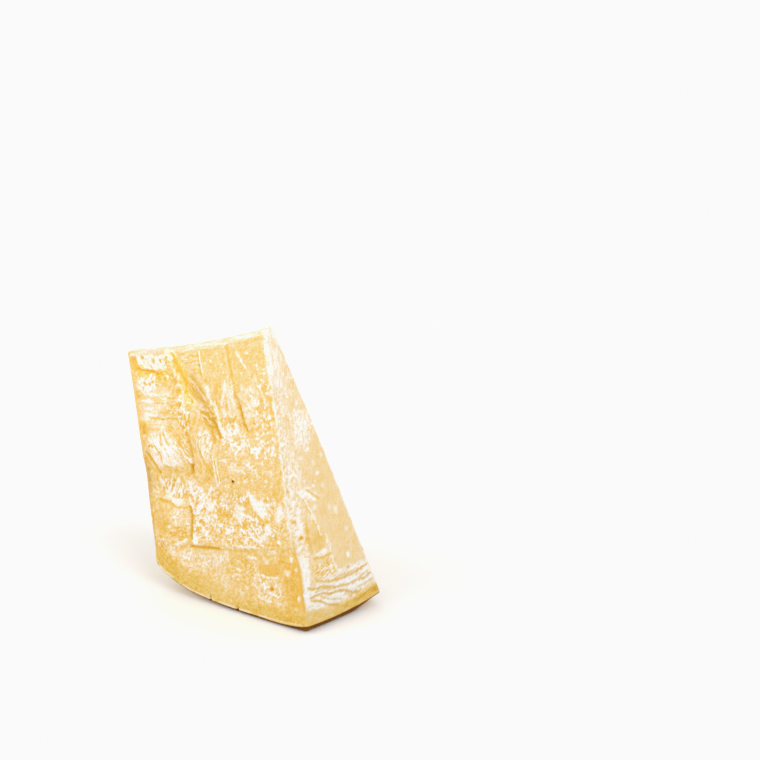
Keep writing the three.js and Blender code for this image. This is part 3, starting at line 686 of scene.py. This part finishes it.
def painted(side, b, c, q, front_c, back_c):
    """Tone, shade, share of rind and fine relief at every point, by how far it faces each side."""
    painters = {
        "front": (paint_front, b, q), "back": (paint_back, b, q), "cut": (paint_cut, c, q),
        "end": (paint_end, c, q, front_c), "heel": (paint_heel, b, c, front_c, back_c),
        "top": (paint_ridge, b, c),
    }
    values = {name: np.zeros(b.shape) for name in ("tone", "shade", "rind")}
    fine = {}
    for name, (painter, *places) in painters.items():
        near = side[name] > 0.001
        share = side[name][near]
        *colours, relief = painter(*(place[near] for place in places))
        for value, own in zip(values.values(), colours):
            value[near] += share * own
        fine[name] = np.zeros(b.shape)
        fine[name][near] = share * relief
    return values, fine


def add_rim_skin_and_shade(values, side, down, b):
    """The heel's brown rind and painted shade at its rim; down is how far a point faces the ground."""
    start = mix(*SKIN_AND_SHADE_STARTS, ease(16, 30, b))
    # painted shade: darkest at the near rims, lighter at the end and back rims
    skin_and_shade = ease(start, start + SKIN_AND_SHADE_FADE, down) * fall(0.9, 0.98, down)
    far_rim = (side["end"] + side["back"]) / np.maximum(1 - side["heel"], 0.001)
    for key, value in (("tone", mix(*SKIN_AND_SHADE_TONE, far_rim)), ("shade", 1.0), ("rind", 1.0)):
        values[key] = mix(values[key], value, skin_and_shade)


def grit_of(values, side):
    """How strong the crumbs are: most on the broken faces, least on rind and in the gold."""
    grit = 1.1 - 0.55 * side["cut"] - 0.4 * (side["end"] + side["heel"])
    grit = grit * (1 - 0.4 * values["rind"] * side["front"])
    return grit * mix(0.4, 1, ease(0.28, 0.48, values["tone"]))


# ---- The main shape, as in the CAD source ----

def wedge_point(u, v, w):
    """The place b, c, q of a point from its shares of the wedge along b, c and q."""
    b = u * LENGTH
    ridge = mix(*RIDGE_PLACE, u)
    front = mix(mix(*FRONT_FOOT, u), ridge, w)
    bulge = mix(*BACK_BULGE, np.sin(np.pi * np.clip(u, 0, 1))) * np.sin(np.pi * np.clip(w, 0, 1))
    back = mix(mix(*BACK_FOOT, u), ridge + RIDGE_WIDTH, w) + bulge
    c = mix(front, back, v)
    return b, c, mix(heel_level(b, c), ridge_level(u), w)


def crumble(x, y, seed):
    coarse, fine = (np.array([x, y]) * k / CRUMBLE_GRAIN for k in (1, CRUMBLE_FINENESS))
    return 0.5 * (value_noise(*coarse, seed) + 0.5 * value_noise(*fine, seed + 1))


def mound(b, q, mb, mq, half_b, half_q, rise):
    return rise * np.clip(1 - ((b - mb) / half_b) ** 2 - ((q - mq) / half_q) ** 2, 0, 1) ** 2


def front_relief(b, q):
    b, q = front_chart(b, q)
    line, half = through(STEP_LINE, q), through(STEP_WIDTH, q) / 2
    rise = -through(STEP_HEIGHT, q) * ease(line - half, line + half, b)
    for row in MOUNDS:
        rise += mound(b, q, *row)
    start, middle, half_q, depth = END_FALL
    rise -= depth * ease(start, CHART_LENGTH, b) * np.clip(1 - ((q - middle) / half_q) ** 2, 0, 1)
    width, low, high, depth = EDGE_FALL
    rise -= depth * np.clip(1 - b / width, 0, 1) ** 2 * ease(low, high, q)
    level, slope, width, height = LEDGE
    rise += height * ease(0, width, q - level + slope * (b - CHART_LENGTH))
    rise += mound(b, q, *FLUTES) * np.sin(2 * np.pi * (b + FLUTE_LEAN * q) / FLUTE_PITCH)
    return rise + crumble(b, q, 3) * ease(*CRUMBLE_STARTS, q)


def cut_relief(c, q, front_c):
    width, low, high, fade, depth = BEVEL
    rise = -depth * np.clip(1 - (c - front_c) / width, 0, 1) * inside(low, high, fade, q)
    low, high, fade, slope, pitch, depth = FLAKES
    layer = q - slope * c
    groove = 0.5 + 0.5 * np.sin(2 * np.pi * layer / pitch)
    return rise - depth * inside(low, high, fade, layer) * groove + CRUMBLE_ON_CUT * crumble(c, q, 11)


def end_relief(c, q, front_c):
    return -through(END_WEAR, q) * np.clip(1 - (c - front_c) / END_WEAR_WIDTH, 0, 1)


def back_relief(b, q):
    length, height, rise = BACK_WAVE
    return rise * value_noise(b / length, q / height, 23) + CRUMBLE_ON_BACK * crumble(b, q, 31)


def tucked(b, c, front_c):
    """How far the heel is brought down to the ground, from 0 at its rim to 1."""
    from_rim = np.clip((np.minimum(b, c - front_c) - TUCK_RIM) / TUCK_WIDTH, 0, 1)
    fade = fall(*TUCK_ALONG, b) * fall(*TUCK_ACROSS, c)
    return fade * (1 - (1 - from_rim) ** 2)


def turned(b, c, q):
    """From the wheel's lengths to x, y, z with the chunk turned onto its heel."""
    x, y, z = -b, c * math.cos(ROLL) - q * math.sin(ROLL), c * math.sin(ROLL) + q * math.cos(ROLL)
    return x * math.cos(LEAN) - z * math.sin(LEAN), y, x * math.sin(LEAN) + z * math.cos(LEAN)


# ---- The grid: six sides of a box ----

def side_loops(n, m, coarse):
    """Corners (i, j) of each face on a side of n by m cells. Inside the ring of a coarse side a face takes
    2 x 2 cells, and keeps the corners of the small faces that it meets."""
    ring = COARSE_RING if coarse else n + m  # a fine side is all ring
    loops = []
    for i in range(n):
        for j in range(m):
            if not (ring <= i < n - ring and ring <= j < m - ring):
                loops.append([(i, j), (i + 1, j), (i + 1, j + 1), (i, j + 1)])
    for i in range(ring, n - ring, 2):
        for j in range(ring, m - ring, 2):
            loop = [(i, j)]
            loop += [(i + 1, j)] * (j == ring) + [(i + 2, j)]
            loop += [(i + 2, j + 1)] * (i + 2 == n - ring) + [(i + 2, j + 2)]
            loop += [(i + 1, j + 2)] * (j + 2 == m - ring) + [(i, j + 2)]
            loop += [(i, j + 1)] * (i == ring)
            loops.append(loop)
    return loops


def box_grid():
    """Grid points in 0..1 along b, c and q, and the faces as rows of their numbers."""
    numbers, faces = {}, []
    for axis, end, coarse in GRID_SIDES:
        wrong_way = (axis == 1) != (end == 1)
        for loop in side_loops(*CELLS[:axis], *CELLS[axis + 1:], coarse):
            places = [(*corner[:axis], end * CELLS[axis], *corner[axis:]) for corner in loop]
            row = [numbers.setdefault(place, len(numbers)) for place in places]
            faces.append(row[::-1] if wrong_way else row)
    return np.array(list(numbers)) / CELLS, faces


def rounded(u, v, w):
    """The points with the box's edges rounded, as shares of the box, and the way out at each."""
    sizes = np.stack([np.full(u.shape, LENGTH), mix(BACK_FOOT[0] - FRONT_FOOT[0], RIDGE_WIDTH, w),
                      np.full(u.shape, RIDGE_HEIGHT[0])], 1)
    flat = np.stack([u, v, w], 1) * sizes
    core = np.clip(flat, EDGE_ROUND, sizes - EDGE_ROUND)
    out = flat - core
    out /= np.linalg.norm(out, axis=1, keepdims=True)
    return (core + EDGE_ROUND * out) / sizes, out


def side_shares(out):
    """How far each point faces each side, as shares of 1."""
    shares = {}
    for way, (low, high) in zip(out.T, (("cut", "end"), ("front", "back"), ("heel", "top"))):
        shares[low], shares[high] = np.maximum(-way, 0) ** 2, np.maximum(way, 0) ** 2
    return shares


def shaped():
    """The chunk's points and faces, and the colours and places in the wheel of its points."""
    grid, faces = box_grid()
    share, out = rounded(*grid.T)
    u, v, w = share.T
    b, c, q = wedge_point(u, v, w)
    front_c, back_c = wedge_point(u, 0 * v, w)[1], wedge_point(u, 0 * v + 1, w)[1]
    side = side_shares(out)
    plain_c = c - side["front"] * front_relief(b, q) + side["back"] * back_relief(b, q)
    at = plain_c, q, front_c
    plain_b = b - side["cut"] * cut_relief(*at) + side["end"] * end_relief(*at)
    x, y, z = turned(plain_b, plain_c, q)
    lift = -z.min() - FOOT_DEPTH
    middle = (x.min() + x.max()) / 2, (y.min() + y.max()) / 2

    values, fine = painted(side, b, c, q, front_c, back_c)
    add_rim_skin_and_shade(values, side, -out[:, 2], b)
    values["grit"] = grit_of(values, side)
    full_c = plain_c - fine["front"] + fine["back"]
    full_b = plain_b - fine["cut"] + fine["end"]
    x, y, z = turned(full_b, full_c, q + fine["top"] - fine["heel"])
    z = np.maximum(z + lift, 0) * (1 - side["heel"] * tucked(b, c, front_c))
    place = np.stack([x - middle[0], y - middle[1], z], 1) * MM
    return np.clip(place, *map(np.array, cad_box)), faces, values, np.stack([b, c, q], 1)


def chunk_mesh():
    place, faces, values, wheel = shaped()
    mesh = bpy.data.meshes.new("cheese_chunk_dressed")
    mesh.from_pydata(place.tolist(), [], faces)
    mesh.polygons.foreach_set("use_smooth", [True] * len(faces))
    for name, value in values.items():
        mesh.attributes.new(name, "FLOAT", "POINT").data.foreach_set("value", value.astype(np.float32))
    layer = mesh.attributes.new("wheel", "FLOAT_VECTOR", "POINT")
    layer.data.foreach_set("vector", wheel.astype(np.float32).ravel())
    mesh.update()
    return mesh


# ---- Materials ----

# Colours of the paste and of the rind, as rows of (tone, sRGB colour)
CHEESE_RAMP = [
    (0.00, (52, 30, 8)), (0.1, (110, 64, 10)), (0.2, (190, 128, 24)), (0.28, (226, 172, 48)),
    (0.43, (237, 189, 84)), (0.59, (241, 206, 132)), (0.75, (244, 222, 182)), (0.9, (249, 244, 236)),
    (0.98, (252, 251, 250)),
]
RIND_RAMP = [
    (0.00, (38, 20, 0)), (0.15, (112, 65, 0)), (0.26, (196, 134, 28)), (0.35, (220, 170, 64)),
    (0.46, (233, 196, 98)), (0.6, (240, 211, 148)), (0.9, (249, 242, 228)),
]
SHADE_ALL = 0.878
CRUMBS = {"Scale": 1.3, "Detail": 5.0, "Roughness": 0.78}  # in the wheel's millimetres
BUMP = {"Strength": 0.35, "Distance": 0.0003}
CHEESE_SHEEN = 0.06
ROUGH_LEAST, ROUGH_BY_TONE = 0.42, 0.25


def linear(color):
    """A colour as a ramp takes it, from its sRGB numbers of 0 to 255."""
    shares = (v / 255 for v in color)
    return [v / 12.92 if v <= 0.04045 else ((v + 0.055) / 1.055) ** 2.4 for v in shares]


def feed(tree, node, inputs):
    """Sets each input to its value, or links it to the output that is given for it."""
    for name, value in inputs.items():
        if isinstance(value, bpy.types.NodeSocket):
            tree.links.new(value, node.inputs[name])
        else:
            node.inputs[name].default_value = value


def add_node(tree, kind, inputs, **settings):
    node = tree.nodes.new("ShaderNode" + kind)
    for name, value in settings.items():
        setattr(node, name, value)
    feed(tree, node, inputs)
    return node


def add_ramp(tree, factor, stops):
    """The colour that rows of (place, linear colour) give at factor."""
    ramp = add_node(tree, "ValToRGB", {"Fac": factor})
    elements = ramp.color_ramp.elements
    while len(elements) < len(stops):
        elements.new(0.5)
    for element, (place, color) in zip(elements, stops):
        element.position = place
        element.color = (*color, 1)
    return ramp.outputs["Color"]


def new_material(name):
    """A material, its node tree and its shader."""
    material = bpy.data.materials.new(name)
    material.use_nodes = True
    return material, material.node_tree, material.node_tree.nodes["Principled BSDF"]


def cheese_material():
    material, tree, shader = new_material("cheese")

    def attribute(name, output="Fac"):
        return add_node(tree, "Attribute", {}, attribute_name=name).outputs[output]

    def worked(operation, first, second):
        return add_node(tree, "Math", {0: first, 1: second}, operation=operation).outputs[0]

    def mixed(blend, share, first, second):
        inputs = {"Factor": share, "A": first, "B": second}
        return add_node(tree, "Mix", inputs, data_type="RGBA", blend_type=blend).outputs["Result"]

    def toned(stops):
        return add_ramp(tree, tone, [(place, linear(color)) for place, color in stops])

    wheel = attribute("wheel", "Vector")
    crumbs = add_node(tree, "TexNoise", {"Vector": wheel, **CRUMBS}).outputs["Fac"]
    swing = worked("MULTIPLY", worked("SUBTRACT", crumbs, 0.5), attribute("grit"))
    tone = worked("ADD", attribute("tone"), swing)
    color = mixed("MIX", attribute("rind"), toned(CHEESE_RAMP), toned(RIND_RAMP))
    dimmed = worked("MULTIPLY", attribute("shade"), SHADE_ALL)
    grey = add_node(tree, "CombineColor", {"Red": dimmed, "Green": dimmed, "Blue": dimmed})
    feed(tree, shader, {
        "Base Color": mixed("MULTIPLY", 1.0, color, grey.outputs["Color"]),
        "Roughness": worked("ADD", worked("MULTIPLY", tone, ROUGH_BY_TONE), ROUGH_LEAST),
        "Specular IOR Level": CHEESE_SHEEN,
        "Normal": add_node(tree, "Bump", {"Height": crumbs, **BUMP}).outputs["Normal"],
    })
    return material


def add_object(name, data):
    thing = bpy.data.objects.new(name, data)
    scene.collection.objects.link(thing)
    return thing


chunk = add_object("cheese_chunk_dressed", chunk_mesh())
chunk.data.materials.append(cheese_material())
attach(chunk, "root")
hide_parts("cheese_chunk")

# ---- Floor, lights and camera ----

FLOOR_SIZE = 12.0
FLOOR_COLOR = (0.9, 0.9, 0.9, 1)
# The surroundings from the horizon up: a white wall far off, a warm room, a white ceiling
SKY = [(0.0, (1, 1, 1)), (0.05, (1, 1, 1)), (0.1, (0.68, 0.655, 0.61)), (1.0, (1.05, 1.05, 1.05))]
WHITE_LEVEL = 0.956  # the floor is lit past white, and white is held here

CAMERA_PLACE = (0.6039, -0.447, 0.3985)
CAMERA_AZIMUTH = math.radians(48.81)
CAMERA_DOWN = math.radians(21.05)
FOCAL_LENGTH = 1700 / 760  # in widths of the photograph


def add_floor():
    half = FLOOR_SIZE / 2
    corners = [(-half, -half, 0), (half, -half, 0), (half, half, 0), (-half, half, 0)]
    mesh = bpy.data.meshes.new("floor")
    mesh.from_pydata(corners, [], [(0, 1, 2, 3)])
    material, tree, shader = new_material("floor")
    feed(tree, shader, {"Base Color": FLOOR_COLOR, "Roughness": 0.9, "Specular IOR Level": 0.0})
    mesh.materials.append(material)
    plane = add_object("floor", mesh)


def soft_light(name, azimuth, elevation, softness, strength):
    """A wide distant light. Azimuth is where it shines from, from +X towards +Y, in degrees."""
    data = bpy.data.lights.new(name, "SUN")
    data.angle = math.radians(softness)
    data.energy = strength
    a, e = math.radians(azimuth), math.radians(elevation)
    way = Vector((math.cos(a) * math.cos(e), math.sin(a) * math.cos(e), math.sin(e)))
    add_object(name, data).rotation_euler = way.to_track_quat("Z", "Y").to_euler()


def add_sky():
    world = bpy.data.worlds.new("studio")
    world.use_nodes = True
    tree = world.node_tree
    way = add_node(tree, "TexCoord", {}).outputs["Generated"]
    height = add_node(tree, "SeparateXYZ", {"Vector": way}).outputs["Z"]
    feed(tree, tree.nodes["Background"], {"Color": add_ramp(tree, height, SKY)})
    scene.world = world


def add_camera():
    """The photograph's own camera."""
    data = bpy.data.cameras.new("camera")
    data.lens = data.sensor_width * FOCAL_LENGTH
    camera = add_object("camera", data)
    camera.location = CAMERA_PLACE
    camera.rotation_euler = (math.pi / 2 - CAMERA_DOWN, 0, CAMERA_AZIMUTH)
    scene.camera = camera


def hold_white():
    """A straight tone curve that is level from WHITE_LEVEL up, as the photograph's white is."""
    view = scene.view_settings
    view.view_transform = "Standard"
    view.use_curve_mapping = True
    curve = view.curve_mapping.curves[3]
    curve.points[-1].location = (1, WHITE_LEVEL)
    curve.points.new(WHITE_LEVEL, WHITE_LEVEL)
    for point in curve.points:
        point.handle_type = "VECTOR"
    view.curve_mapping.update()


add_floor()
add_sky()
soft_light("left", -115, 30, 40, 0.78)
soft_light("right", 0, 40, 40, 0.85)
add_camera()
hold_white()
scene.cycles.use_denoising = True
